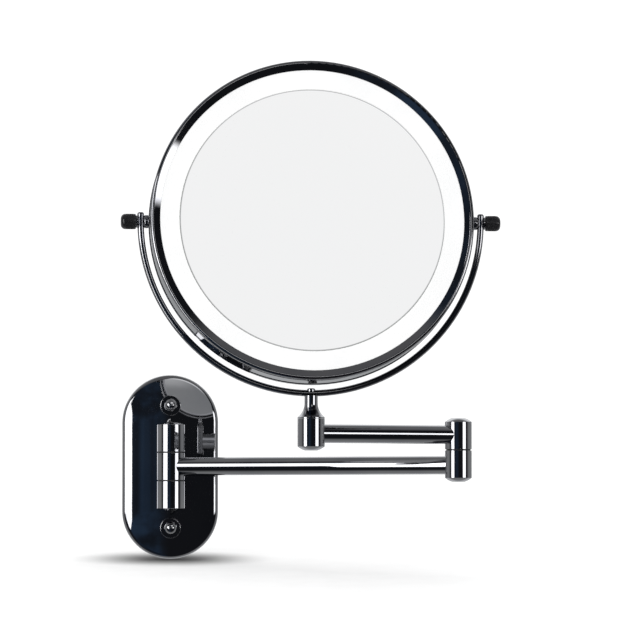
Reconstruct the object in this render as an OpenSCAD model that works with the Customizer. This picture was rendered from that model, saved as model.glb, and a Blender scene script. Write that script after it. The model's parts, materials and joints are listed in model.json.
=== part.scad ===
// Extendable wall mirror: a lit, two-sided round head on a yoke and a two-part swing arm.
// +Z is up, -Y points away from the wall, and the origin is the centre of the wall plate's back.
// All sizes are in millimetres and all angles in degrees.

/* [Wall plate] */
// Width of the wall plate
plate_w = 67; // [60:0.5:74]
// From the washer of a cap nut to the plate's end
plate_end = 14.25; // [10:0.25:40]
// How far the middle of the plate stands out from the wall
plate_depth = 10.5; // [10:0.5:13]
// Sheet thickness of the plate
plate_wall = 1.4; // [1:0.1:2]
// Radius of the rounded rim of the plate
plate_rim_r = 4; // [3:0.25:5]
// Radius of the gentle dome of the plate's face
plate_dome_r = 110; // [110:5:600]
// Gap between a domed end of the hinge and the washer of a cap nut
nut_gap = 4.6; // [2:0.05:20]
// Diameter of the studs under the cap nuts
stud_d = 4; // [3:0.5:5]
// Diameter of the ball of a cap nut
nut_ball_d = 8.9; // [8:0.1:12]
// Diameter of the round washer under a cap nut
nut_washer_d = 14.4; // [12:0.1:18]
// How far the washer stands out of the plate on its own axis
nut_washer_t = 1.8; // [1.4:0.1:3]

/* [Mounting bracket] */
// Width of the strip that is screwed to the wall
bracket_w = 24; // [18:1:34]
// From a stud's axis to the strip's end
bracket_end = 9.2; // [6:0.1:16]
// Thickness of the strip
bracket_t = 2; // [1.5:0.5:3]
// Distance between the two wall screw holes
wall_hole_pitch = 56; // [52:1:68]
// Diameter of the wall screw holes
wall_hole_d = 4.6; // [3.5:0.1:6]

/* [Wall hinge] */
// Gap between the plate's face and the hinge barrel
hinge_gap = 0.85; // [0.6:0.05:8]
// Diameter of the hinge barrel
hinge_d = 19.3; // [17:0.1:20]
// Height of each of the three barrel segments
knuckle_h = 18.8; // [16:0.1:24]
// Gap between two barrel segments
seam_gap = 0.9; // [0.5:0.1:1.5]
// Diameter of the hinge pin
hinge_pin_d = 8; // [6:0.5:9]
// Rise of the domed barrel ends
hinge_dome = 1.9; // [1:0.1:4]
// Diameter of the screws that hold the fixed segments
knuckle_screw_d = 4; // [3:0.5:5]

/* [Arms] */
// Length of the long arm between its hinge axes
long_arm_l = 217; // [150:1:300]
// Length of the short arm between its hinge axes
short_arm_l = 110.5; // [80:0.5:180]
// Outer diameter of both arm tubes
tube_d = 12.5; // [10:0.1:14]
// Wall thickness of both arm tubes
tube_wall = 1.2; // [0.8:0.1:2]
// Height of the short arm's axis above the long arm's axis
arm_rise = 20.5; // [17:0.1:26]
// Diameter of the barrels at the elbow and under the yoke
barrel_d = 18.1; // [17:0.1:22]
// Straight length of a barrel from its arm's axis to its closed end
barrel_end = 8.6; // [8:0.1:11]
// Height of a barrel's end cap
cap_rise = 2.7; // [1:0.1:4]
// Diameter of the flat in the middle of an end cap
cap_flat_d = 8; // [4:0.1:12]
// Diameter of the pins that the arms turn on
arm_pin_d = 8; // [6:0.5:9]

/* [Yoke] */
// Gap between the head's rim and the yoke's bar
side_gap = 3.6; // [3:0.1:12]
// Diameter of the yoke's round bar
yoke_bar_d = 4.4; // [4:0.1:7]
// How far the bar's ends reach above the tilt axis
yoke_end_rise = 6.3; // [4:0.1:12]
// Length of the straight part of the neck
neck_l = 5.15; // [3:0.05:40]
// Diameter of the flared neck at its thinnest
neck_d = 8.8; // [7:0.1:12]
// Length of the curved flare of the neck
flare_h = 9.4; // [5:0.1:10]
// How far the small nut above the bar stands out on each side of it
yoke_nut_side = 0.5; // [0.4:0.1:1.5]
// Diameter of the screws that the head tilts on
pivot_screw_d = 2.5; // [2:0.1:3]
// Diameter of the black spacers between bar and head
spacer_d = 9; // [7:0.1:12]
// Diameter of a knob
knob_d = 10.3; // [9:0.1:16]
// Length of a knob
knob_l = 9.9; // [9:0.1:16]
// Number of grooves round a knob
knob_grooves = 28; // [12:1:32]

/* [Head] */
// Outer diameter of the mirror head
head_d = 216; // [180:0.5:262]
// Depth of the mirror head over both bezels
head_depth = 26; // [26:0.5:32]
// Width of the bezel seen from the front
bezel_w = 6.6; // [5.5:0.1:8]
// Thickness of the drum wall
shell_wall = 1.6; // [1.2:0.1:2]
// Width of the lit ring round the plain mirror disc
light_w = 13.2; // [11:0.1:24]
// Thickness of the glass discs
glass_t = 3; // [2:0.1:3]
// Radius of curvature of the magnifying mirror
magnifier_r = 1200; // [1000:50:3000]
// Diameter of the push button
button_d = 5.8; // [4:0.1:6]
// How far the push button stands out of the drum
button_proud = 0.9; // [0.7:0.1:1.5]
// Number of light emitting diodes
led_count = 36; // [12:1:48]

/* [Rest pose] */
// Heading of the long arm from the plate's right-hand side
long_arm_heading = -28; // [-170:1:-10]
// Heading of the short arm, on the same scale
short_arm_heading = 202.5; // [-360:0.5:360]
// Turn of the yoke away from facing straight out
yoke_heading = 2; // [-180:0.5:180]
// Backward tilt of the head
head_tilt = 7; // [-180:0.5:180]

/* [Hidden] */
$fn = 96;

// Clearances
run_gap = 0.05;
loose_gap = 0.15;
body_gap = 0.3;
cut = 1;

// Wall hinge
hinge_r = hinge_d / 2;
hinge_out = plate_depth + hinge_gap + hinge_r;
knuckle_z = knuckle_h + seam_gap;
knuckle_foot_w = 12;
screw_tip_gap = 2;
screw_end = hinge_out - hinge_pin_d / 2 - screw_tip_gap;
bush_wall = 1;
cap_plug_d = 12;
cap_plug_h = 1.5;

// Wall plate
stud_z = knuckle_z + knuckle_h / 2 + hinge_dome + nut_gap + nut_washer_d / 2;
plate_h = 2 * (stud_z + nut_washer_d / 2 + plate_end);
plate_straight = plate_h - plate_w;
bracket_l = 2 * (stud_z + bracket_end);
face_drop = pow(max(0, stud_z - plate_straight / 2), 2) / (2 * plate_dome_r);
nut_seat = plate_depth - face_drop;
nut_collar_h = 1;
nut_ball_r = nut_ball_d / 2;
nut_ball_out = nut_seat + nut_washer_t + nut_collar_h + 0.75 * nut_ball_r;
stud_tip = nut_ball_out + 1;
screw_head_h = 2.2;

// Arms
tube_bore_d = tube_d - 2 * tube_wall;
spigot_l = 12;
barrel_r = barrel_d / 2;
barrel_seam = arm_rise / 2 - seam_gap / 2;
bush_d = arm_pin_d + 2 * run_gap + 2 * bush_wall;
screw_pocket_d = 13;
screw_seat = 2;
spring_washer_t = 0.8;
pin_head_h = 2.6;
thread_d = 5;
elbow_x = long_arm_l * cos(long_arm_heading);
elbow_y = long_arm_l * sin(long_arm_heading) - hinge_out;
yoke_x = elbow_x + short_arm_l * cos(short_arm_heading);
yoke_y = elbow_y + short_arm_l * sin(short_arm_heading);

// Yoke
bar_r = yoke_bar_d / 2;
yoke_r = head_d / 2 + side_gap + bar_r;
stem_seat = barrel_seam + loose_gap;
stem_rim = 0.8;
neck_start = stem_seat + stem_rim + flare_h;
neck_top = neck_start + neck_l;
bar_low = neck_top + 0.7 * bar_r;
pivot_rise = bar_low + yoke_r;
flare_w = barrel_r - neck_d / 2;
flare_r = (flare_w * flare_w + flare_h * flare_h) / (2 * flare_w);
stem_pin_d = 2.6;
yoke_nut_d = yoke_bar_d + 2 * yoke_nut_side;
nut_top = bar_low + bar_r + 1.1;
pivot_screw_r = pivot_screw_d / 2;
saddle = 0.4;
spacer_round = 1.7;
washer_out = yoke_r + bar_r + 0.9;
pivot_washer_d = 8.4;
knob_start = washer_out + 0.15;
screw_head_out = knob_start + 0.6 * knob_l;
screw_head_r = 2;
groove_r = 0.42;
knob_taper = 0.35;

// Head
head_r = head_d / 2;
shell_r = head_r - 0.4;
shell_in = shell_r - shell_wall;
half_depth = head_depth / 2;
crest_r = 1.9;
crest_mid = head_r - crest_r;
crest_z = half_depth - crest_r;
lip_r = head_r - bezel_w;
glass_front = half_depth - 2.2;
glass_back = glass_front - glass_t;
lip_z = glass_front + 0.1;
lip_top = lip_z + 0.3;
crest_step = 0.02;
crest_run = crest_mid - lip_r;
crest_fall = crest_z - lip_top;
crest_far = sqrt(crest_run * crest_run + crest_fall * crest_fall);
slope = atan2(crest_fall, crest_run) + asin((crest_r - crest_step) / crest_far);
slope_l = sqrt(crest_far * crest_far - crest_r * crest_r);
skirt_z = half_depth - 4.4;
spigot_z = skirt_z - 3;
skirt_in = shell_in - 1.3;
glass_r = skirt_in - 0.2;
mirror_r = lip_r - light_w;
mirror_gap = 0.4;

// Inside the head
tray_t = 1.4;
tray_z = glass_back - 0.1;
channel_z = tray_z - 5.7;
channel_in = mirror_r - 1.2;
channel_wall = 1.2;
board_t = 1.2;
board_z = channel_z + tray_t;
board_gap = 1.55;
board_w = glass_r - channel_in - 2 * (channel_wall + board_gap);
board_mid = (channel_in + channel_wall + glass_r - channel_wall) / 2;
led_size = [2.8, 3.5, 0.8];
magnifier_sag = magnifier_r - sqrt(magnifier_r * magnifier_r - glass_r * glass_r);
magnifier_z = magnifier_sag - glass_front - magnifier_r;
cell_d = 10.2;
cell_l = 44.5;
cell_count = 3;
cell_pitch = cell_d + 0.3;
cell_gap = 0.15;
cell_z = tray_z - tray_t - cell_gap - cell_d / 2;
magnifier_top = magnifier_z + magnifier_r + glass_t;
cell_dip = max(0, magnifier_top + body_gap - (cell_z - cell_d / 2));
cells_near = sqrt(2 * (magnifier_r + glass_t) * cell_dip);
cells_y = -cells_near - (cell_count - 1) / 2 * cell_pitch;
holder_wall = 1;
holder_l = cell_l + 5.5;
holder_low_z = cell_z - cell_d / 4;
board_top = tray_z - tray_t - 1;
wire_r = 0.6;
lug_count = 4;
lug_r = 4;
lug_h = 3;
lug_mid = shell_in - lug_r;
switch_z = (channel_z - spigot_z) / 2;
plunger_h = 0.8;
switch_out = shell_in - 3;
button_flange_r = button_d / 2 + 0.6;
button_back = shell_in - 1.1;
bush_l = 5;

// ---- Frames that the pieces are placed in ----

// Local +Z points out of the wall and local +Y is up
module wall_frame() {
    rotate([90, 0, 0]) children();
}

// Local origin on the wall hinge's axis, local +X along the long arm
module long_arm_frame() {
    translate([0, -hinge_out, 0]) rotate(long_arm_heading) children();
}

// The long arm's frame moved to its far end
module long_arm_end() {
    translate([elbow_x, elbow_y, 0]) rotate(long_arm_heading) children();
}

// Local origin on the elbow's axis at the short arm's height, local +X along the short arm
module short_arm_frame() {
    translate([elbow_x, elbow_y, arm_rise]) rotate(short_arm_heading) children();
}

// The short arm's frame moved to its far end
module short_arm_end() {
    translate([yoke_x, yoke_y, arm_rise]) rotate(short_arm_heading) children();
}

// Local origin on the swivel's axis at the short arm's height, local -Y facing the user
module yoke_frame() {
    translate([yoke_x, yoke_y, arm_rise]) rotate(yoke_heading) children();
}

// Local origin on the tilt axis, local +X to the right-hand knob
module pivot_frame() {
    yoke_frame() translate([0, 0, pivot_rise]) children();
}

// Local origin in the middle of the head, local +Z to the front and local +Y up
module head_frame() {
    pivot_frame() rotate([90 - head_tilt, 0, 0]) children();
}

// The child once at each side of the local X = 0 plane
module both_sides() {
    children();
    mirror([1, 0, 0]) children();
}

// The child once above and once below the local Y = 0 plane
module above_and_below() {
    children();
    mirror([0, 1, 0]) children();
}

// ---- Shapes that repeat ----

// A hollow round: height h from local Z = 0
module ring(outer_r, inner_r, h) {
    difference() {
        cylinder(r = outer_r, h = h);
        translate([0, 0, -cut]) cylinder(r = inner_r, h = h + 2 * cut);
    }
}

// A round post whose top edge is rounded by edge_r
module rounded_post(r, h, edge_r) {
    rotate_extrude() rounded_half(r, h, edge_r);
}

// Half outline of a post with a rounded top edge
module rounded_half(r, h, edge_r) {
    square([r - edge_r, h]);
    square([r, h - edge_r]);
    translate([r - edge_r, h - edge_r]) intersection() {
        circle(edge_r);
        square(edge_r);
    }
}

// Half outline of the wall plate's solid form, X outwards from its axis and Y out of the wall.
// The arc of the rim runs into the arc of the dome without a corner, and both are set in by inset.
module plate_outline(inset) {
    half_w = plate_w / 2 - inset;
    rim_r = plate_rim_r - inset;
    dome_r = plate_dome_r - inset;
    rim_mid = plate_w / 2 - plate_rim_r;
    dome_mid = plate_depth - plate_dome_r;
    rim_y = dome_mid + sqrt(pow(plate_dome_r - plate_rim_r, 2) - rim_mid * rim_mid);
    touch_x = rim_mid * dome_r / (dome_r - rim_r);
    intersection() {
        union() {
            square([half_w, rim_y]);
            translate([rim_mid, rim_y]) circle(rim_r);
            intersection() {
                translate([0, dome_mid]) circle(dome_r, $fn = 1440);
                square([touch_x, plate_depth]);
            }
        }
        square([half_w, plate_depth + cut]);
    }
}

// The wall plate's solid form: two round ends and a straight middle
module plate_form(inset) {
    above_and_below() translate([0, plate_straight / 2, 0])
        rotate_extrude(angle = 180) plate_outline(inset);
    translate([0, plate_straight / 2, 0]) rotate([90, 0, 0]) linear_extrude(plate_straight)
        both_sides() plate_outline(inset);
}

module plate_outside() {
    plate_form(0);
}

// A rounded-end strip centred on the local origin
module strip(w, l, t) {
    linear_extrude(t) {
        square([w, l - w], center = true);
        for (side = [-1, 1]) translate([0, side * (l - w) / 2]) circle(w / 2);
    }
}

// The spigot that an arm tube is pushed onto, along local +X from a barrel's axis
module spigot(r) {
    translate([r - 2, 0, 0]) rotate([0, 90, 0]) cylinder(d = tube_bore_d - 0.1, h = spigot_l + 2);
}

// An arm tube along local +X between a barrel of radius start_r and one of radius end_r
module arm_tube(l, start_r, end_r) {
    difference() {
        rotate([0, 90, 0]) ring(tube_d / 2, tube_bore_d / 2, l);
        cylinder(r = start_r, h = 2 * tube_d, center = true);
        translate([l, 0, 0]) cylinder(r = end_r, h = 2 * tube_d, center = true);
    }
}

// A fixed segment of the wall hinge, its middle at the local origin, its outer end up
module fixed_knuckle() {
    difference() {
        union() {
            translate([0, -hinge_out, -knuckle_h / 2]) cylinder(r = hinge_r, h = knuckle_h);
            translate([-knuckle_foot_w / 2, -hinge_out, -knuckle_h / 2])
                cube([knuckle_foot_w, hinge_out, knuckle_h]);
        }
        translate([0, 0, -knuckle_z]) wall_frame() plate_outside();
        translate([0, -hinge_out, -knuckle_h]) cylinder(d = hinge_pin_d, h = 2 * knuckle_h);
        translate([0, -hinge_out, knuckle_h / 2 - cap_plug_h]) cylinder(d = cap_plug_d, h = knuckle_h);
        wall_frame() cylinder(d = knuckle_screw_d, h = screw_end);
    }
}

// A domed end of the wall hinge, its rim at the local origin
module hinge_cap() {
    dome_r = (hinge_r * hinge_r + hinge_dome * hinge_dome) / (2 * hinge_dome);
    rotate_extrude() {
        intersection() {
            translate([0, hinge_dome - dome_r]) circle(dome_r, $fn = 360);
            square([hinge_r, hinge_dome]);
        }
        translate([0, -cap_plug_h]) square([cap_plug_d / 2, cap_plug_h]);
    }
}

// A barrel's end cap, its rim at the local origin, its flat up
module barrel_cap() {
    flat_r = cap_flat_d / 2;
    deep = (barrel_r * barrel_r - flat_r * flat_r - cap_rise * cap_rise) / (2 * cap_rise);
    dome_r = sqrt(barrel_r * barrel_r + deep * deep);
    rotate_extrude() {
        intersection() {
            translate([0, -deep]) circle(dome_r, $fn = 360);
            square([barrel_r, cap_rise]);
        }
        translate([0, -cap_plug_h]) square([screw_pocket_d / 2, cap_plug_h]);
    }
}

// A barrel that turns on a bush, its pocket end up, its bush end down, its arm along +X
module turning_barrel() {
    difference() {
        union() {
            translate([0, 0, -barrel_seam]) cylinder(r = barrel_r, h = barrel_seam + barrel_end);
            spigot(barrel_r);
        }
        translate([0, 0, -barrel_seam - cut]) cylinder(d = bush_d, h = 2 * arm_rise);
        translate([0, 0, screw_seat]) cylinder(d = screw_pocket_d, h = arm_rise);
    }
}

// The bush inside a turning barrel
module barrel_bush() {
    translate([0, 0, -barrel_seam])
        ring(bush_d / 2, arm_pin_d / 2 + run_gap, barrel_seam + screw_seat);
}

// The spring washer under a retaining screw's head
module barrel_spring_washer() {
    translate([0, 0, screw_seat])
        ring(screw_pocket_d / 2 - loose_gap, arm_pin_d / 2 + loose_gap, spring_washer_t);
}

// The bar of the yoke as a full ring and two uprights, used for the bar and the saddles on it
module yoke_path(upright) {
    rotate([90, 0, 0]) rotate(180) rotate_extrude(angle = 180) translate([yoke_r, 0]) circle(bar_r);
    both_sides() translate([yoke_r, 0, 0]) rounded_post(bar_r, upright, 1.2);
}

// A knob on the right-hand side, placed along local +X
module knob() {
    dome = 2.9;
    groove_start = 1.6;
    difference() {
        translate([knob_start, 0, 0]) rotate([0, 90, 0]) difference() {
            intersection() {
                rounded_post(knob_d / 2, knob_l, dome);
                cylinder(r1 = knob_d / 2 - knob_taper, r2 = knob_d / 2 - knob_taper + knob_l, h = knob_l);
            }
            for (i = [0:knob_grooves - 1]) rotate(i * 360 / knob_grooves)
                translate([knob_d / 2 + 0.08, 0, groove_start])
                    cylinder(r = groove_r, h = knob_l - groove_start - dome - 0.3);
        }
        rotate([0, 90, 0]) cylinder(r = pivot_screw_r, h = screw_head_out);
        translate([screw_head_out - screw_head_r, 0, 0]) rotate([0, 90, 0])
            cylinder(r = screw_head_r, h = screw_head_r);
    }
}

// A pivot screw on the right-hand side, from inside the drum into the knob
module pivot_screw() {
    inner_end = shell_in - bush_l + 0.5;
    translate([inner_end, 0, 0]) rotate([0, 90, 0])
        cylinder(r = pivot_screw_r, h = screw_head_out - inner_end);
    translate([screw_head_out - screw_head_r, 0, 0]) rotate([0, 90, 0])
        cylinder(r = screw_head_r, h = screw_head_r);
}

// A hole along local X at both sides of the head or the yoke
module pivot_holes(r) {
    translate([-2 * yoke_r, 0, 0]) rotate([0, 90, 0]) cylinder(r = r, h = 4 * yoke_r);
}

// The bezel on the front of the head, in the head's frame
module bezel() {
    rotate_extrude() polygon([
        [lip_r, lip_z],
        [lip_r, lip_top],
        [lip_r, lip_top] + slope_l * [cos(slope), sin(slope)],
        [crest_mid, crest_z],
        [head_r - crest_step, crest_z],
        [head_r - crest_step, skirt_z],
        [shell_in - 0.1, skirt_z],
        [shell_in - 0.1, spigot_z],
        [skirt_in, spigot_z],
        [skirt_in, lip_z]
    ]);
    rotate_extrude() intersection() {
        translate([crest_mid, crest_z]) circle(crest_r);
        translate([lip_r, lip_z]) square([bezel_w, half_depth]);
    }
}

// Places its child at each of the four lugs, in the head's frame
module at_lugs() {
    for (i = [0:lug_count - 1]) rotate(45 + i * 360 / lug_count) translate([lug_mid, 0, 0]) children();
}

// Places its child at each battery, in the head's frame, local +Z along the battery
module at_cells() {
    for (i = [0:cell_count - 1])
        translate([0, cells_y + (i - (cell_count - 1) / 2) * cell_pitch, cell_z])
            rotate([0, 90, 0]) children();
}

// A straight wire between two points
module wire(from, to) {
    run = to - from;
    heading = atan2(run[1], run[0]);
    steep = atan2(norm([run[0], run[1]]), run[2]);
    translate(from) rotate([0, steep, heading]) cylinder(r = wire_r, h = norm(run));
}

// ---- Wall base ----

module mounting_bracket() {
    color("silver") wall_frame() difference() {
        strip(bracket_w, bracket_l, bracket_t);
        above_and_below() {
            translate([0, stud_z, -cut]) cylinder(d = stud_d, h = bracket_t + 2 * cut);
            translate([0, wall_hole_pitch / 2, -cut]) cylinder(d = wall_hole_d, h = bracket_t + 2 * cut);
        }
    }
}

module bracket_studs() {
    color("silver") wall_frame() above_and_below()
        translate([0, stud_z, 0]) cylinder(d = stud_d, h = stud_tip);
}

module wall_plate() {
    color("dimgray") wall_frame() difference() {
        plate_outside();
        translate([0, 0, -0.001]) plate_form(plate_wall);
        above_and_below() {
            translate([0, stud_z, 0]) cylinder(d = stud_d + 2 * loose_gap, h = 2 * plate_depth);
            translate([0, knuckle_z, 0]) cylinder(d = knuckle_screw_d + 2 * loose_gap, h = 2 * plate_depth);
        }
    }
}

module cap_nuts() {
    color("dimgray") wall_frame() above_and_below() translate([0, stud_z, 0]) difference() {
        union() {
            translate([0, 0, nut_seat + nut_washer_t]) cylinder(r = 0.9 * nut_ball_r, h = nut_collar_h + 1);
            translate([0, 0, nut_ball_out]) sphere(r = nut_ball_r);
        }
        translate([0, 0, -cut]) cylinder(d = stud_d, h = stud_tip + cut);
        cylinder(r = nut_washer_d, h = nut_seat + nut_washer_t);
    }
}

module nut_washers() {
    color("dimgray") wall_frame() difference() {
        above_and_below() translate([0, stud_z, nut_seat - 2])
            rounded_post(nut_washer_d / 2, nut_washer_t + 2, 0.5);
        plate_outside();
        above_and_below() translate([0, stud_z, 0])
            cylinder(d = stud_d + 2 * loose_gap, h = 2 * plate_depth);
    }
}

module upper_knuckle() {
    color("dimgray") translate([0, 0, knuckle_z]) fixed_knuckle();
}

module lower_knuckle() {
    color("dimgray") mirror([0, 0, 1]) translate([0, 0, knuckle_z]) fixed_knuckle();
}

module knuckle_screws() {
    head_out = plate_depth - plate_wall - 0.1;
    color("silver") wall_frame() above_and_below() translate([0, knuckle_z, head_out - screw_head_h]) {
        cylinder(d = 1.8 * knuckle_screw_d, h = screw_head_h);
        cylinder(d = knuckle_screw_d, h = screw_end - head_out + screw_head_h);
    }
}

module hinge_pin() {
    pin_half = knuckle_z + knuckle_h / 2 - cap_plug_h;
    color("silver") translate([0, -hinge_out, -pin_half]) cylinder(d = hinge_pin_d, h = 2 * pin_half);
}

module hinge_washers() {
    washer_t = seam_gap - 2 * run_gap;
    color("black") for (side = [-1, 1])
        translate([0, -hinge_out, side * knuckle_z / 2 - washer_t / 2])
            ring(hinge_r - 0.8, hinge_pin_d / 2 + run_gap, washer_t);
}

module upper_hinge_cap() {
    color("dimgray") translate([0, -hinge_out, knuckle_z + knuckle_h / 2]) hinge_cap();
}

module lower_hinge_cap() {
    color("dimgray") mirror([0, 0, 1])
        translate([0, -hinge_out, knuckle_z + knuckle_h / 2]) hinge_cap();
}

// ---- Long arm ----

module long_arm_knuckle() {
    color("dimgray") long_arm_frame() difference() {
        union() {
            cylinder(r = hinge_r, h = knuckle_h, center = true);
            spigot(hinge_r);
        }
        cylinder(d = hinge_pin_d + 2 * run_gap + 2 * bush_wall, h = 2 * knuckle_h, center = true);
    }
}

module hinge_bushes() {
    bush_h = knuckle_h / 2 - 2;
    color("ivory") for (side = [0, 1]) mirror([0, 0, side])
        translate([0, -hinge_out, knuckle_h / 2 - bush_h])
            ring(hinge_pin_d / 2 + run_gap + bush_wall, hinge_pin_d / 2 + run_gap, bush_h);
}

module long_arm_tube() {
    color("dimgray") long_arm_frame() arm_tube(long_arm_l, hinge_r, barrel_r);
}

module elbow_lower_barrel() {
    color("dimgray") long_arm_end() difference() {
        union() {
            translate([0, 0, -barrel_end]) cylinder(r = barrel_r, h = barrel_end + barrel_seam);
            mirror([1, 0, 0]) spigot(barrel_r);
        }
        translate([0, 0, -arm_rise]) cylinder(d = thread_d, h = 2 * arm_rise);
        translate([0, 0, -arm_rise - barrel_end + cap_plug_h]) cylinder(d = screw_pocket_d, h = arm_rise);
    }
}

module elbow_bottom_cap() {
    color("dimgray") long_arm_end() translate([0, 0, -barrel_end]) mirror([0, 0, 1]) barrel_cap();
}

module elbow_screw() {
    head_z = arm_rise + screw_seat + spring_washer_t;
    thread_z = cap_plug_h - barrel_end;
    color("silver") long_arm_end() {
        translate([0, 0, thread_z]) cylinder(d = thread_d, h = head_z - thread_z);
        translate([0, 0, barrel_seam]) cylinder(d = arm_pin_d, h = head_z - barrel_seam);
        translate([0, 0, head_z]) cylinder(d = screw_pocket_d - 1, h = pin_head_h);
    }
}

module elbow_washer() {
    color("black") long_arm_end() translate([0, 0, barrel_seam + run_gap])
        ring(barrel_r - 0.8, arm_pin_d / 2 + run_gap, seam_gap - 2 * run_gap);
}

// ---- Short arm ----

module elbow_upper_barrel() {
    color("dimgray") short_arm_frame() turning_barrel();
}

module elbow_top_cap() {
    color("dimgray") short_arm_frame() translate([0, 0, barrel_end]) barrel_cap();
}

module elbow_bush() {
    color("ivory") short_arm_frame() barrel_bush();
}

module elbow_spring_washer() {
    color("silver") short_arm_frame() barrel_spring_washer();
}

module short_arm_tube() {
    color("dimgray") short_arm_frame() arm_tube(short_arm_l, barrel_r, barrel_r);
}

module yoke_barrel() {
    color("dimgray") short_arm_end() rotate([0, 180, 0]) turning_barrel();
}

module yoke_barrel_cap() {
    color("dimgray") short_arm_end() rotate([0, 180, 0]) translate([0, 0, barrel_end]) barrel_cap();
}

module swivel_bush() {
    color("ivory") short_arm_end() rotate([0, 180, 0]) barrel_bush();
}

// ---- Yoke ----

module swivel_stem() {
    shank_end = -screw_seat - run_gap;
    color("dimgray") yoke_frame() difference() {
        union() {
            translate([0, 0, shank_end]) cylinder(d = arm_pin_d, h = stem_seat - shank_end);
            translate([0, 0, stem_seat]) rotate_extrude() difference() {
                square([barrel_r, neck_start - stem_seat]);
                translate([neck_d / 2 + flare_r, neck_start - stem_seat]) circle(flare_r, $fn = 360);
            }
            translate([0, 0, neck_start]) cylinder(d = neck_d, h = neck_top - neck_start);
            cylinder(d = stem_pin_d, h = nut_top - 0.6);
        }
        translate([0, 0, pivot_rise]) yoke_path_groove();
        translate([0, 0, shank_end - cut]) cylinder(d = thread_d - 1, h = barrel_seam);
    }
}

// The yoke's ring without the stem pin's place, which stays whole inside the bar's hole
module yoke_path_groove() {
    difference() {
        yoke_path(yoke_end_rise);
        translate([0, 0, -pivot_rise]) cylinder(d = stem_pin_d, h = pivot_rise);
    }
}

module swivel_screw() {
    head_z = -screw_seat - spring_washer_t;
    color("silver") yoke_frame() {
        translate([0, 0, head_z]) cylinder(d = thread_d - 1, h = barrel_seam - screw_seat + 1.5);
        translate([0, 0, head_z - pin_head_h]) cylinder(d = screw_pocket_d - 1, h = pin_head_h);
    }
}

module swivel_spring_washer() {
    color("silver") yoke_frame() rotate([180, 0, 0]) barrel_spring_washer();
}

module yoke_bar() {
    color("dimgray") pivot_frame() difference() {
        yoke_path(yoke_end_rise);
        pivot_holes(pivot_screw_r + run_gap);
        translate([0, 0, -2 * yoke_r]) cylinder(d = stem_pin_d, h = 2 * yoke_r);
    }
}

module yoke_nut() {
    color("dimgray") yoke_frame() difference() {
        translate([0, 0, bar_low]) rounded_post(yoke_nut_d / 2, nut_top - bar_low, 0.9);
        translate([-yoke_nut_d, 0, bar_low]) rotate([0, 90, 0])
            cylinder(r = bar_r + run_gap, h = 2 * yoke_nut_d);
        translate([-yoke_nut_d, -yoke_nut_d, 0])
            cube([2 * yoke_nut_d, 2 * yoke_nut_d, bar_low + bar_r / 2]);
        cylinder(d = stem_pin_d, h = nut_top - 0.6);
    }
}

module pivot_spacers() {
    start = shell_r + body_gap;
    spacer_l = yoke_r - bar_r + saddle - start;
    color("black") pivot_frame() difference() {
        both_sides() translate([start, 0, 0]) rotate([0, 90, 0]) intersection() {
            rounded_post(spacer_d / 2, spacer_l, spacer_round);
            translate([0, 0, spacer_l]) mirror([0, 0, 1])
                rounded_post(spacer_d / 2, spacer_l, spacer_round);
        }
        yoke_path(spacer_d);
        pivot_holes(pivot_screw_r + run_gap);
    }
}

module pivot_washers() {
    color("black") pivot_frame() difference() {
        both_sides() translate([yoke_r + bar_r - saddle, 0, 0]) rotate([0, 90, 0])
            rounded_post(pivot_washer_d / 2, washer_out - yoke_r - bar_r + saddle, 0.5);
        yoke_path(spacer_d);
        pivot_holes(pivot_screw_r + run_gap);
    }
}

// ---- Knobs ----

module left_knob() {
    color("black") pivot_frame() mirror([1, 0, 0]) knob();
}

module left_pivot_screw() {
    color("silver") pivot_frame() mirror([1, 0, 0]) pivot_screw();
}

module right_knob() {
    color("black") pivot_frame() knob();
}

module right_pivot_screw() {
    color("silver") pivot_frame() pivot_screw();
}

// ---- Head ----

module head_shell() {
    color("dimgray") head_frame() difference() {
        union() {
            translate([0, 0, -skirt_z]) ring(shell_r, shell_in, 2 * skirt_z);
            intersection() {
                at_lugs() translate([0, 0, channel_z - lug_h]) {
                    cylinder(r = lug_r, h = lug_h);
                    translate([0, -lug_r, 0]) cube([2 * lug_r, 2 * lug_r, lug_h]);
                }
                translate([0, 0, -skirt_z]) cylinder(r = shell_in + shell_wall / 2, h = 2 * skirt_z);
            }
        }
        at_lugs() translate([0, 0, -skirt_z]) cylinder(r = 1.3, h = 2 * skirt_z);
        pivot_holes(pivot_screw_r + loose_gap);
        translate([0, 0, switch_z]) rotate([90, 0, 0])
            cylinder(r = button_d / 2 + 0.1, h = head_d);
    }
}

module front_bezel() {
    color("dimgray") head_frame() bezel();
}

module rear_bezel() {
    color("dimgray") head_frame() rotate([180, 0, 0]) bezel();
}

module front_mirror() {
    color("gainsboro") head_frame() translate([0, 0, glass_back]) cylinder(r = mirror_r, h = glass_t);
}

module light_diffuser() {
    color("white") head_frame() translate([0, 0, glass_back])
        ring(glass_r, mirror_r + mirror_gap, glass_t);
}

module rear_mirror() {
    color("gainsboro") head_frame() difference() {
        intersection() {
            translate([0, 0, -glass_front]) cylinder(r = glass_r, h = glass_front);
            translate([0, 0, magnifier_z]) rotate([90, 0, 0]) sphere(r = magnifier_r + glass_t, $fn = 720);
        }
        translate([0, 0, magnifier_z]) rotate([90, 0, 0]) sphere(r = magnifier_r, $fn = 720);
    }
}

module inner_tray() {
    color("white") head_frame() difference() {
        rotate_extrude() polygon([
            [0, tray_z - tray_t],
            [channel_in, tray_z - tray_t],
            [channel_in, channel_z],
            [glass_r, channel_z],
            [glass_r, tray_z],
            [glass_r - channel_wall, tray_z],
            [glass_r - channel_wall, board_z],
            [channel_in + channel_wall, board_z],
            [channel_in + channel_wall, tray_z],
            [0, tray_z]
        ]);
        at_lugs() translate([0, 0, channel_z - cut]) cylinder(r = 1.1, h = tray_t + 2 * cut);
    }
}

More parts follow.
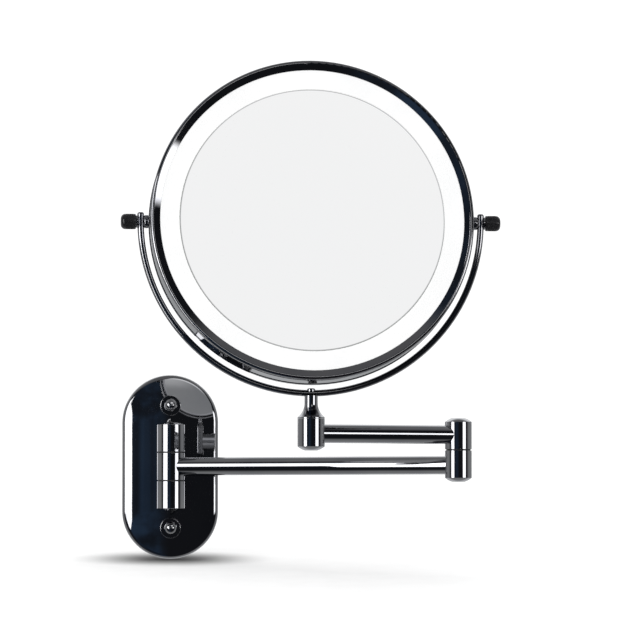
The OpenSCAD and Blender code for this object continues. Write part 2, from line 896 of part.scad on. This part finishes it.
module led_board() {
    color("forestgreen") head_frame() translate([0, 0, board_z])
        difference() {
            ring(board_mid + board_w / 2, board_mid - board_w / 2, board_t);
            at_lugs() translate([0, 0, -cut]) cylinder(r = 1.6, h = board_t + 2 * cut);
        }
}

module leds() {
    color("khaki") head_frame() for (i = [0:led_count - 1])
        rotate((i + 0.5) * 360 / led_count)
            translate([board_mid - led_size[0] / 2, -led_size[1] / 2, board_z + board_t]) cube(led_size);
}

module pivot_bushes() {
    color("goldenrod") head_frame() difference() {
        intersection() {
            both_sides() translate([shell_in - bush_l, 0, 0]) rotate([0, 90, 0])
                cylinder(r = 3.5, h = bush_l);
            translate([0, 0, -half_depth]) cylinder(r = shell_in, h = head_depth);
            translate([-head_r, -head_r, -half_depth])
                cube([head_d, head_d, half_depth + channel_z - run_gap]);
        }
        pivot_holes(pivot_screw_r + run_gap);
    }
}

module tray_screws() {
    color("silver") head_frame() at_lugs() {
        translate([0, 0, channel_z - lug_h - 1.2]) cylinder(r = 2.2, h = 1.2);
        translate([0, 0, channel_z - lug_h]) cylinder(r = 1.1, h = lug_h + tray_t);
    }
}

module battery_holder() {
    holder_w = cell_count * cell_pitch + 2 * holder_wall;
    color("black") head_frame() translate([0, cells_y, cell_z]) difference() {
        translate([-holder_l / 2 - holder_wall, -holder_w / 2, holder_low_z - cell_z])
            cube([holder_l + 2 * holder_wall, holder_w, 0.75 * cell_d]);
        translate([-holder_l / 2, holder_wall - holder_w / 2, -cell_d])
            cube([holder_l, holder_w - 2 * holder_wall, 2 * cell_d]);
    }
}

module batteries() {
    color("darkorange") head_frame() at_cells() {
        translate([0, 0, -cell_l / 2]) cylinder(d = cell_d, h = cell_l - 1);
        translate([0, 0, cell_l / 2 - 1]) cylinder(d = 3.8, h = 1);
    }
}

module battery_contacts() {
    contact_w = 7;
    color("silver") head_frame() at_cells() for (side = [0, 1]) mirror([0, 0, side])
        translate([-contact_w / 2, -contact_w / 2, cell_l / 2]) {
            cube([contact_w, contact_w, 0.4]);
            translate([contact_w / 2, contact_w / 2, 0]) cylinder(d = 3, h = (holder_l - cell_l) / 2);
        }
}

module driver_board() {
    color("forestgreen") head_frame() translate([0, 48, 0]) {
        translate([-20, -8, board_top - board_t]) cube([40, 16, board_t]);
        for (x = [-12, 10]) translate([x, -2, board_top - board_t - 1]) cube([6, 5, 1]);
        for (x = [-18, 18]) translate([x, 0, board_top]) cylinder(d = 3, h = 1);
    }
}

module wires() {
    holder_top = cells_y + (cell_count * cell_pitch) / 2 + holder_wall;
    holder_low = cells_y - (cell_count * cell_pitch) / 2 - holder_wall;
    board_mid_z = board_top - board_t / 2;
    led_end = channel_in - 1;
    color("crimson") head_frame() {
        for (x = [-8, -5]) wire([x, holder_top, board_mid_z], [x, 40, board_mid_z]);
        wire([-2, holder_low, holder_low_z + wire_r], [-2, -switch_out + 6, switch_z + 0.3]);
        wire([20 + loose_gap, 50, board_mid_z], [led_end * cos(40), led_end * sin(40), board_mid_z]);
    }
}

module switch_body() {
    color("black") head_frame() translate([0, 0, switch_z]) rotate([90, 0, 0]) {
        translate([-4, -3.5, switch_out - 6]) cube([8, 7, 6]);
        translate([0, 0, switch_out]) cylinder(r = 1.7, h = plunger_h);
    }
}

module switch_button() {
    color("black") head_frame() translate([0, 0, switch_z]) rotate([90, 0, 0]) {
        translate([0, 0, button_back]) cylinder(r = button_flange_r, h = 0.8);
        translate([0, 0, button_back])
            rounded_post(button_d / 2, shell_r + button_proud - button_back, 0.5);
    }
}

mounting_bracket();
bracket_studs();
wall_plate();
cap_nuts();
nut_washers();
upper_knuckle();
lower_knuckle();
knuckle_screws();
hinge_pin();
hinge_washers();
upper_hinge_cap();
lower_hinge_cap();
long_arm_knuckle();
hinge_bushes();
long_arm_tube();
elbow_lower_barrel();
elbow_bottom_cap();
elbow_screw();
elbow_washer();
elbow_upper_barrel();
elbow_top_cap();
elbow_bush();
elbow_spring_washer();
short_arm_tube();
yoke_barrel();
yoke_barrel_cap();
swivel_bush();
swivel_stem();
swivel_screw();
swivel_spring_washer();
yoke_bar();
yoke_nut();
pivot_spacers();
pivot_washers();
left_knob();
left_pivot_screw();
right_knob();
right_pivot_screw();
head_shell();
front_bezel();
rear_bezel();
front_mirror();
light_diffuser();
rear_mirror();
inner_tray();
led_board();
leds();
pivot_bushes();
tray_screws();
battery_holder();
batteries();
battery_contacts();
driver_board();
wires();
switch_body();
switch_button();
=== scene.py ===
import json
import math

import bpy
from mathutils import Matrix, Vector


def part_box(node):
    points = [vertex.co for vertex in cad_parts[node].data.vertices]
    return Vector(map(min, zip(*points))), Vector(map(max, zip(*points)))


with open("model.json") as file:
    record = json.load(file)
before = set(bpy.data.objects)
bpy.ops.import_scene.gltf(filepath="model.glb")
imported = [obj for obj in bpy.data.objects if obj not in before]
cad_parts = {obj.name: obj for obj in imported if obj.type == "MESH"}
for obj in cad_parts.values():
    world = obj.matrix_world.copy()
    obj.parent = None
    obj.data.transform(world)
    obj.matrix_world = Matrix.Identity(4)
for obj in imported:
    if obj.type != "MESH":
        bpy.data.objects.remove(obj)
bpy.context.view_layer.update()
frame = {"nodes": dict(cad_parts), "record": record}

# Finishes, studio and camera for the extendable wall mirror. All lengths are in metres and all
# directions are the frame's: +Z up, -Y away from the wall and towards the user.

HEAD_AXIS = (0.03464, -0.99194, 0.12187)    # out of the lit face of the mirror head
DISC_RADIUS = 0.0882                        # of the plain mirror disc in that face
GROUND_EDGE = (0.0007, 0.0003)              # the disc's ground edge starts and ends this far in
DISC_DEPTH = 0.005                          # from the disc's middle to behind its back
CELL_BAND = 0.014                           # length of the light band on a battery's sleeve

# ---- Node building ----


class Graph:
    """Adds shader nodes to one node tree and links them."""

    def __init__(self, tree):
        self.tree = tree
        tree.nodes.clear()

    def add(self, kind, **settings):
        node = self.tree.nodes.new(kind)
        for name, value in settings.items():
            setattr(node, name, value)
        return node

    def put(self, socket, value):
        """Links an output to the socket, or sets the socket's own value."""
        if isinstance(value, bpy.types.NodeSocket):
            self.tree.links.new(value, socket)
        else:
            socket.default_value = value

    def math(self, operation, *values):
        node = self.add("ShaderNodeMath", operation=operation)
        for socket, value in zip(node.inputs, values):
            self.put(socket, value)
        return node.outputs[0]

    def vector(self, operation, *values):
        """Vector maths on outputs or on plain triples."""
        node = self.add("ShaderNodeVectorMath", operation=operation)
        for socket, value in zip(node.inputs, values):
            self.put(socket, value)
        return node.outputs["Value" if operation in ("LENGTH", "DOT_PRODUCT") else "Vector"]

    def fade(self, value, start, end, low=0.0, high=1.0):
        """Goes smoothly from low to high as value goes from start to end."""
        node = self.add("ShaderNodeMapRange", interpolation_type="SMOOTHSTEP")
        for name, setting in (("Value", value), ("From Min", start), ("From Max", end),
                              ("To Min", low), ("To Max", high)):
            self.put(node.inputs[name], setting)
        return node.outputs[0]

    def blend(self, factor, first, second):
        """Mixes two colours."""
        node = self.add("ShaderNodeMix", data_type="RGBA")
        self.put(node.inputs["Factor"], factor)
        for socket, colour in zip((node.inputs[6], node.inputs[7]), (first, second)):
            self.put(socket, colour if isinstance(colour, bpy.types.NodeSocket) else (*colour, 1.0))
        return node.outputs[2]

    def place(self, stretch=(1.0, 1.0, 1.0)):
        """The surface's own coordinates, in metres, stretched along the axes."""
        coordinates = self.add("ShaderNodeTexCoord").outputs["Object"]
        mapping = self.add("ShaderNodeMapping")
        self.put(mapping.inputs["Vector"], coordinates)
        mapping.inputs["Scale"].default_value = stretch
        return mapping.outputs["Vector"]

    def noise(self, scale, detail=3.0, stretch=(1.0, 1.0, 1.0), distortion=0.0):
        node = self.add("ShaderNodeTexNoise")
        self.put(node.inputs["Vector"], self.place(stretch))
        node.inputs["Scale"].default_value = scale
        node.inputs["Detail"].default_value = detail
        node.inputs["Distortion"].default_value = distortion
        return node.outputs["Fac"]

    def bump(self, height, depth, normal=None):
        """A bump whose full height is depth metres."""
        node = self.add("ShaderNodeBump")
        node.inputs["Distance"].default_value = depth
        self.put(node.inputs["Height"], height)
        if normal is not None:
            self.put(node.inputs["Normal"], normal)
        return node.outputs["Normal"]

    def soft_edges(self, radius):
        """The surface's normals with its sharp edges rounded to the radius."""
        node = self.add("ShaderNodeBevel", samples=4)
        node.inputs["Radius"].default_value = radius
        return node.outputs["Normal"]


def surface(name):
    """A new material with a Principled shader; returns the material, its graph and the shader."""
    material = bpy.data.materials.new(name)
    material.use_nodes = True
    graph = Graph(material.node_tree)
    output = graph.add("ShaderNodeOutputMaterial")
    shader = graph.add("ShaderNodeBsdfPrincipled")
    graph.put(output.inputs["Surface"], shader.outputs["BSDF"])
    return material, graph, shader


# ---- Finishes ----


def dark_chrome():
    """Smoky mirror-polished plating: faint waves, hairlines, wiping haze and darker tarnish."""
    material, g, shader = surface("dark_chrome")
    shader.inputs["Metallic"].default_value = 1.0
    tarnish = g.fade(g.noise(22.0, detail=5.0), 0.35, 0.7)
    g.put(shader.inputs["Base Color"], g.blend(tarnish, (0.44, 0.44, 0.45), (0.36, 0.365, 0.385)))
    haze = g.fade(g.noise(48.0, detail=6.0, distortion=0.6), 0.45, 0.75, 0.018, 0.05)
    hairline = g.fade(g.noise(260.0, detail=2.0, stretch=(1.0, 1.0, 9.0)), 0.66, 0.78, 0.0, 0.05)
    g.put(shader.inputs["Roughness"], g.math("ADD", haze, hairline))
    waves = g.bump(g.noise(55.0, detail=1.5), 0.00003, g.soft_edges(0.00022))
    g.put(shader.inputs["Normal"], g.bump(g.noise(900.0, detail=2.0), 0.0000006, waves))
    return material


def turned_metal(name, light, dark, rough):
    """Bare or zinc-plated metal with fine turning marks."""
    material, g, shader = surface(name)
    shader.inputs["Metallic"].default_value = 1.0
    patches = g.fade(g.noise(180.0, detail=4.0), 0.3, 0.7)
    g.put(shader.inputs["Base Color"], g.blend(patches, light, dark))
    marks = g.noise(1400.0, detail=2.0, stretch=(1.0, 1.0, 6.0))
    g.put(shader.inputs["Roughness"], g.fade(marks, 0.3, 0.7, rough, rough + 0.14))
    g.put(shader.inputs["Normal"], g.bump(marks, 0.000012, g.soft_edges(0.00015)))
    return material


def mirror_glass():
    """Silvered glass with faint wiping marks and dust, and a ground edge on the front disc."""
    material, g, shader = surface("mirror_glass")
    shader.inputs["Metallic"].default_value = 1.0
    low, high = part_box("front_mirror")
    centre = tuple((a + b) / 2.0 for a, b in zip(low, high))
    from_centre = g.vector("SUBTRACT", g.place(), centre)
    off_axis = g.vector("LENGTH", g.vector("CROSS_PRODUCT", from_centre, HEAD_AXIS))
    along_axis = g.vector("DOT_PRODUCT", from_centre, HEAD_AXIS)
    in_front = g.math("GREATER_THAN", along_axis, -DISC_DEPTH)
    rim = g.fade(off_axis, DISC_RADIUS - GROUND_EDGE[0], DISC_RADIUS - GROUND_EDGE[1])
    ground = g.math("MULTIPLY", rim, in_front)
    tint = g.fade(g.noise(6.0, detail=2.0), 0.3, 0.7)
    silver = g.blend(tint, (0.955, 0.955, 0.955), (0.948, 0.949, 0.95))
    g.put(shader.inputs["Base Color"], g.blend(ground, silver, (0.5, 0.5, 0.51)))
    smears = g.noise(14.0, detail=6.0, stretch=(1.0, 1.0, 3.0), distortion=0.8)
    wipes = g.fade(smears, 0.5, 0.8, 0.004, 0.03)
    dust = g.fade(g.noise(1500.0, detail=1.0), 0.74, 0.8, 0.0, 0.12)
    g.put(shader.inputs["Roughness"], g.math("ADD", wipes, dust))
    return material


def frosted_white():
    """Frosted glass, lit from behind by a ring of diodes, its glow a little uneven in soft clouds.
    """
    material, g, shader = surface("frosted_white")
    shader.inputs["Roughness"].default_value = 0.35
    shader.inputs["Subsurface Weight"].default_value = 0.2
    shader.inputs["Subsurface Radius"].default_value = (0.004, 0.004, 0.004)
    shader.inputs["Emission Strength"].default_value = 1.0
    grain = g.noise(2200.0, detail=2.0)
    g.put(shader.inputs["Base Color"], g.blend(grain, (0.34, 0.34, 0.34), (0.37, 0.37, 0.37)))
    cloud = g.fade(g.noise(30.0, detail=3.0), 0.3, 0.7)
    g.put(shader.inputs["Emission Color"], g.blend(cloud, (0.60, 0.603, 0.606), (0.64, 0.64, 0.64)))
    g.put(shader.inputs["Normal"], g.bump(grain, 0.00001))
    return material


def plastic(name, dark, light, rough, grain_depth):
    """Moulded plastic with a fine spark-eroded grain, flow marks and slight rubbing."""
    material, g, shader = surface(name)
    flow = g.fade(g.noise(70.0, detail=4.0, stretch=(1.0, 1.0, 2.5)), 0.3, 0.7)
    g.put(shader.inputs["Base Color"], g.blend(flow, dark, light))
    rub = g.fade(g.noise(160.0, detail=5.0), 0.4, 0.75, rough, rough + 0.16)
    g.put(shader.inputs["Roughness"], rub)
    grain = g.noise(2600.0, detail=2.0)
    g.put(shader.inputs["Normal"], g.bump(grain, grain_depth, g.soft_edges(0.0002)))
    return material


def circuit_board():
    """Green solder mask over copper tracks."""
    material, g, shader = surface("circuit_board")
    shader.inputs["Coat Weight"].default_value = 0.6
    tracks = g.add("ShaderNodeTexBrick")
    g.put(tracks.inputs["Vector"], g.place((90.0, 90.0, 90.0)))
    tracks.inputs["Mortar Size"].default_value = 0.08
    lines = tracks.outputs["Fac"]
    g.put(shader.inputs["Base Color"], g.blend(lines, (0.008, 0.09, 0.03), (0.03, 0.2, 0.07)))
    g.put(shader.inputs["Roughness"], g.fade(g.noise(400.0), 0.3, 0.7, 0.28, 0.42))
    g.put(shader.inputs["Normal"], g.bump(lines, 0.00004))
    return material


def diode():
    """Yellow phosphor in a white package."""
    material, g, shader = surface("led")
    shader.inputs["Emission Strength"].default_value = 0.6
    drop = g.fade(g.noise(1200.0, detail=1.0), 0.4, 0.6)
    colour = g.blend(drop, (0.95, 0.86, 0.4), (0.97, 0.93, 0.7))
    g.put(shader.inputs["Base Color"], colour)
    g.put(shader.inputs["Emission Color"], colour)
    shader.inputs["Roughness"].default_value = 0.3
    return material


def battery_label():
    """Printed sleeve: an orange band over a dark one along the cell."""
    material, g, shader = surface("battery_label")
    along = g.add("ShaderNodeSeparateXYZ")
    g.put(along.inputs["Vector"], g.place())
    band = g.math("LESS_THAN", along.outputs["X"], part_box("batteries")[0].x + CELL_BAND)
    g.put(shader.inputs["Base Color"], g.blend(band, (0.03, 0.03, 0.033), (0.62, 0.22, 0.03)))
    g.put(shader.inputs["Roughness"], g.fade(g.noise(300.0), 0.3, 0.7, 0.22, 0.4))
    g.put(shader.inputs["Normal"], g.bump(g.noise(500.0), 0.00002))
    return material


FINISHES = {
    "dark_chrome": dark_chrome(),
    "steel": turned_metal("steel", (0.66, 0.67, 0.69), (0.48, 0.49, 0.5), 0.22),
    "brass": turned_metal("brass", (0.78, 0.6, 0.28), (0.6, 0.43, 0.17), 0.25),
    "mirror_glass": mirror_glass(),
    "frosted_white": frosted_white(),
    "nylon": plastic("nylon", (0.72, 0.69, 0.6), (0.83, 0.81, 0.74), 0.45, 0.00001),
    "black_nylon": plastic("black_nylon", (0.012, 0.012, 0.013), (0.03, 0.03, 0.032),
                           0.45, 0.00001),
    "black_gloss": plastic("black_gloss", (0.008, 0.008, 0.009), (0.018, 0.018, 0.02),
                           0.13, 0.000003),
    "white_plastic": plastic("white_plastic", (0.8, 0.8, 0.79), (0.88, 0.88, 0.87),
                             0.4, 0.000008),
    "wire_cover": plastic("wire_cover", (0.45, 0.02, 0.02), (0.62, 0.05, 0.04), 0.3, 0.000004),
    "circuit_board": circuit_board(),
    "led": diode(),
    "battery_label": battery_label(),
}

for part in frame["record"]["subparts"]:
    for slot in frame["nodes"][part["node"]].material_slots:
        slot.material = FINISHES[part["material_slot"]]

# ---- Studio ----

# What polished surfaces see of the room. A heading is in degrees to the right of straight in front
# of the wall and a height in degrees above it; off_front is the whole angle from that direction.
# A fade is the pair of angles it runs between. Colours are radiances.

SOFTBOX = 2.9                           # radiance of the two panels and the card in front
PANEL_EDGE = 1.5                        # half the angle that a panel's edge fades over
LEFT_PANEL = (-67.0, -41.0)             # headings of its sides
LEFT_PANEL_TOP = 28.0
LEFT_PANEL_FOOT = ((-34.0, -52.0), (-17.0, -3.0))   # headings, and the foot's heights at them
RIGHT_PANEL = (35.0, 61.0, -2.5, 11.5)  # left, right, foot and top

NIGHT = (0.012, 0.013, 0.016)           # in front, where nothing else is

NAVY = (0.034, 0.062, 0.11)             # clouds at the front left
NAVY_RIGHT_FADE = (2.0, -14.0)          # headings
NAVY_LEFT_FADE = (-60.0, -30.0)
CLOUD_SCALE = 3.5
CLOUD_DETAIL = 3.0
CLOUD_FADE = (0.35, 0.75, 0.1, 0.9)     # the noise's values, and the share of navy at them

CEILING = (0.155, 0.155, 0.162)         # above the front
CEILING_FADE = (38.0, 48.0)             # heights
SIDES = (0.32, 0.325, 0.33)             # beside the object
SIDES_FADE = (70.0, 98.0)               # off front
BACK = (0.40, 0.41, 0.42)               # behind the object
BACK_FADE = (104.0, 165.0)              # off front
OVERHEAD = (0.175, 0.177, 0.182)        # straight above
OVERHEAD_FADE = (50.0, 76.0)            # heights

REAR_BANDS = (1.25, 1.26, 1.28)         # two level bands of light behind the object
REAR_BANDS_FADE = (112.0, 145.0)        # off front
LOW_BAND = ((-8.0, -30.0), (-64.0, -42.0))      # heights at its upper and lower edge
LOW_BAND_SHARE = 0.45
HIGH_BAND = ((14.0, 24.0), (58.0, 48.0))        # heights at its lower and upper edge

MIRRORED = (0.93, 0.932, 0.935)         # the round patch that the plain mirror shows
MIRRORED_AT = (10.5, 17.5)              # heading and height of its middle
MIRRORED_FADE = (8.5, 4.5)              # angles from its middle

ROOM_LIGHT = 1.12                       # radiance of the even white that dull surfaces see


def studio_world():
    """Dark in front with two panels, grey overhead, and pale behind with two bands of light."""
    world = bpy.data.worlds.new("studio")
    bpy.context.scene.world = world
    world.use_nodes = True
    g = Graph(world.node_tree)
    way = g.add("ShaderNodeSeparateXYZ")
    g.put(way.inputs["Vector"], g.add("ShaderNodeTexCoord").outputs["Generated"])
    x, y, z = way.outputs
    forward = g.math("MULTIPLY", y, -1.0)

    def degrees(operation, *values):
        return g.math("MULTIPLY", g.math(operation, *values), math.degrees(1.0))

    heading = degrees("ARCTAN2", x, forward)
    height = degrees("ARCSINE", z)
    off_front = degrees("ARCCOSINE", forward)

    def panel(left, right, foot, top):
        """One inside a panel that spans those headings and heights, else nought."""
        sides = [
            g.fade(heading, left - PANEL_EDGE, left + PANEL_EDGE),
            g.fade(heading, right + PANEL_EDGE, right - PANEL_EDGE),
            g.fade(g.math("SUBTRACT", height, foot), -PANEL_EDGE, PANEL_EDGE),
            g.fade(height, top + PANEL_EDGE, top - PANEL_EDGE),
        ]
        inside = sides[0]
        for side in sides[1:]:
            inside = g.math("MULTIPLY", inside, side)
        return inside

    def band(first_fade, second_fade):
        """One between two heights, with soft edges, else nought."""
        return g.math("MULTIPLY", g.fade(height, *first_fade), g.fade(height, *second_fade))

    def off_middle(angle, middle):
        return g.math("POWER", g.math("SUBTRACT", angle, middle), 2.0)

    clouds = g.add("ShaderNodeTexNoise")
    g.put(clouds.inputs["Vector"], g.add("ShaderNodeTexCoord").outputs["Generated"])
    clouds.inputs["Scale"].default_value = CLOUD_SCALE
    clouds.inputs["Detail"].default_value = CLOUD_DETAIL
    navy_side = g.math("MULTIPLY", g.fade(heading, *NAVY_RIGHT_FADE),
                       g.fade(heading, *NAVY_LEFT_FADE))
    navy = g.math("MULTIPLY", g.fade(clouds.outputs["Fac"], *CLOUD_FADE), navy_side)
    room = g.blend(navy, NIGHT, NAVY)
    room = g.blend(g.fade(height, *CEILING_FADE), room, CEILING)
    room = g.blend(g.fade(off_front, *SIDES_FADE), room, SIDES)
    room = g.blend(g.fade(off_front, *BACK_FADE), room, BACK)
    room = g.blend(g.fade(height, *OVERHEAD_FADE), room, OVERHEAD)
    bands = g.math("ADD", g.math("MULTIPLY", band(*LOW_BAND), LOW_BAND_SHARE), band(*HIGH_BAND))
    behind = g.fade(off_front, *REAR_BANDS_FADE)
    room = g.blend(g.math("MULTIPLY", bands, behind), room, REAR_BANDS)
    left_foot = g.fade(heading, *LEFT_PANEL_FOOT[0], *LEFT_PANEL_FOOT[1])
    panels = g.math("MAXIMUM", panel(*LEFT_PANEL, left_foot, LEFT_PANEL_TOP), panel(*RIGHT_PANEL))
    lit = g.blend(panels, room, (SOFTBOX, SOFTBOX, SOFTBOX * 1.01))
    spread = g.math("ADD", off_middle(heading, MIRRORED_AT[0]), off_middle(height, MIRRORED_AT[1]))
    mirrored = g.fade(g.math("SQRT", spread), *MIRRORED_FADE)
    lit = g.blend(mirrored, lit, MIRRORED)

    reflected = g.add("ShaderNodeBackground")
    g.put(reflected.inputs["Color"], lit)
    plain = g.add("ShaderNodeBackground")
    plain.inputs["Color"].default_value = (1.0, 1.0, 1.0, 1.0)
    plain.inputs["Strength"].default_value = ROOM_LIGHT
    kind = g.add("ShaderNodeLightPath")
    choose = g.add("ShaderNodeMixShader")
    g.put(choose.inputs["Fac"], kind.outputs["Is Glossy Ray"])
    g.put(choose.inputs[1], plain.outputs["Background"])
    g.put(choose.inputs[2], reflected.outputs["Background"])
    output = g.add("ShaderNodeOutputWorld")
    g.put(output.inputs["Surface"], choose.outputs["Shader"])


FLOOR_REACH = 2.2                       # from its middle to a side
FLOOR_FALL = math.radians(6.0)
SHADOW = (0.16, 0.16, 0.16)             # colour of the soft contact shadow painted into the floor under the plate
SHADOW_REACH = (0.074, 0.05)            # its half lengths along the wall and out of it
SHADOW_FADE = (1.05, 0.1)               # shares of those where it starts and is full


def floor():
    """A pale floor that the plate's lower end stands over, falling gently towards the camera, with
    a soft contact shadow painted into its colour under the plate.
    """
    material, g, shader = surface("pale_floor")
    shader.inputs["Roughness"].default_value = 0.9
    shader.inputs["Specular IOR Level"].default_value = 0.0
    speckle = g.fade(g.noise(60.0, detail=4.0), 0.3, 0.7)
    pale = g.blend(speckle, (0.93, 0.93, 0.93), (0.95, 0.95, 0.95))
    # Painted shadow: the floor's colour darkens to SHADOW in an oval around the plate's foot.
    away = g.vector("LENGTH", g.place((1.0 / SHADOW_REACH[0], 1.0 / SHADOW_REACH[1], 0.0)))
    g.put(shader.inputs["Base Color"], g.blend(g.fade(away, *SHADOW_FADE), pale, SHADOW))
    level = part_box("wall_plate")[0].z
    mesh = bpy.data.meshes.new("floor")
    corners = [(-FLOOR_REACH, -FLOOR_REACH), (FLOOR_REACH, -FLOOR_REACH),
               (FLOOR_REACH, FLOOR_REACH), (-FLOOR_REACH, FLOOR_REACH)]
    points = [(x, y, level + y * math.tan(FLOOR_FALL)) for x, y in corners]
    mesh.from_pydata(points, [], [(0, 1, 2, 3)])
    mesh.materials.append(material)
    obj = bpy.data.objects.new("floor", mesh)
    bpy.context.scene.collection.objects.link(obj)
    obj.visible_glossy = False


def soft_light(name, place, aim, size, watts):
    """A square soft light that shows in no reflection, turned towards aim."""
    data = bpy.data.lights.new(name, "AREA")
    data.size = size
    data.energy = watts
    obj = bpy.data.objects.new(name, data)
    obj.location = place
    toward = [end - start for end, start in zip(aim, place)]
    flat = math.hypot(toward[0], toward[1])
    obj.rotation_euler = (math.atan2(flat, -toward[2]), 0.0, math.atan2(-toward[0], toward[1]))
    obj.visible_glossy = False
    bpy.context.scene.collection.objects.link(obj)


def reflected_card(name, place, size, radiance):
    """An upright glowing card facing the wall, which shows in polished surfaces only."""
    data = bpy.data.lights.new(name, "AREA")
    data.shape = "RECTANGLE"
    data.size, data.size_y = size
    data.energy = radiance * math.pi * size[0] * size[1]
    obj = bpy.data.objects.new(name, data)
    obj.location = place
    obj.rotation_euler = (math.radians(90.0), 0.0, 0.0)
    obj.visible_camera = False
    obj.visible_diffuse = False
    bpy.context.scene.collection.objects.link(obj)


LENS = 259.2                            # millimetres, for a sensor 36 mm wide
CAMERA_AT = (-0.0821, -3.1553, -0.0327)
CAMERA_UP = 2.558                       # degrees that it looks up
CAMERA_RIGHT = 3.302                    # degrees that it looks to the right


def camera():
    """A long lens in front of the mirror, a little to its left and turned slightly up."""
    data = bpy.data.cameras.new("camera")
    data.lens = LENS
    data.sensor_width = 36.0
    data.clip_end = 60.0
    obj = bpy.data.objects.new("camera", data)
    obj.location = CAMERA_AT
    obj.rotation_euler = (math.radians(90.0 + CAMERA_UP), 0.0, math.radians(-CAMERA_RIGHT))
    bpy.context.scene.collection.objects.link(obj)
    bpy.context.scene.camera = obj


camera()
studio_world()
floor()
soft_light("top_light", place=(0.0, -0.3, 1.6), aim=(0.05, -0.1, 0.05), size=1.2, watts=3.0)
reflected_card("left_card", place=(-0.358, -0.5, 0.025), size=(0.156, 0.45), radiance=SOFTBOX)
bpy.context.scene.view_settings.view_transform = "Standard"
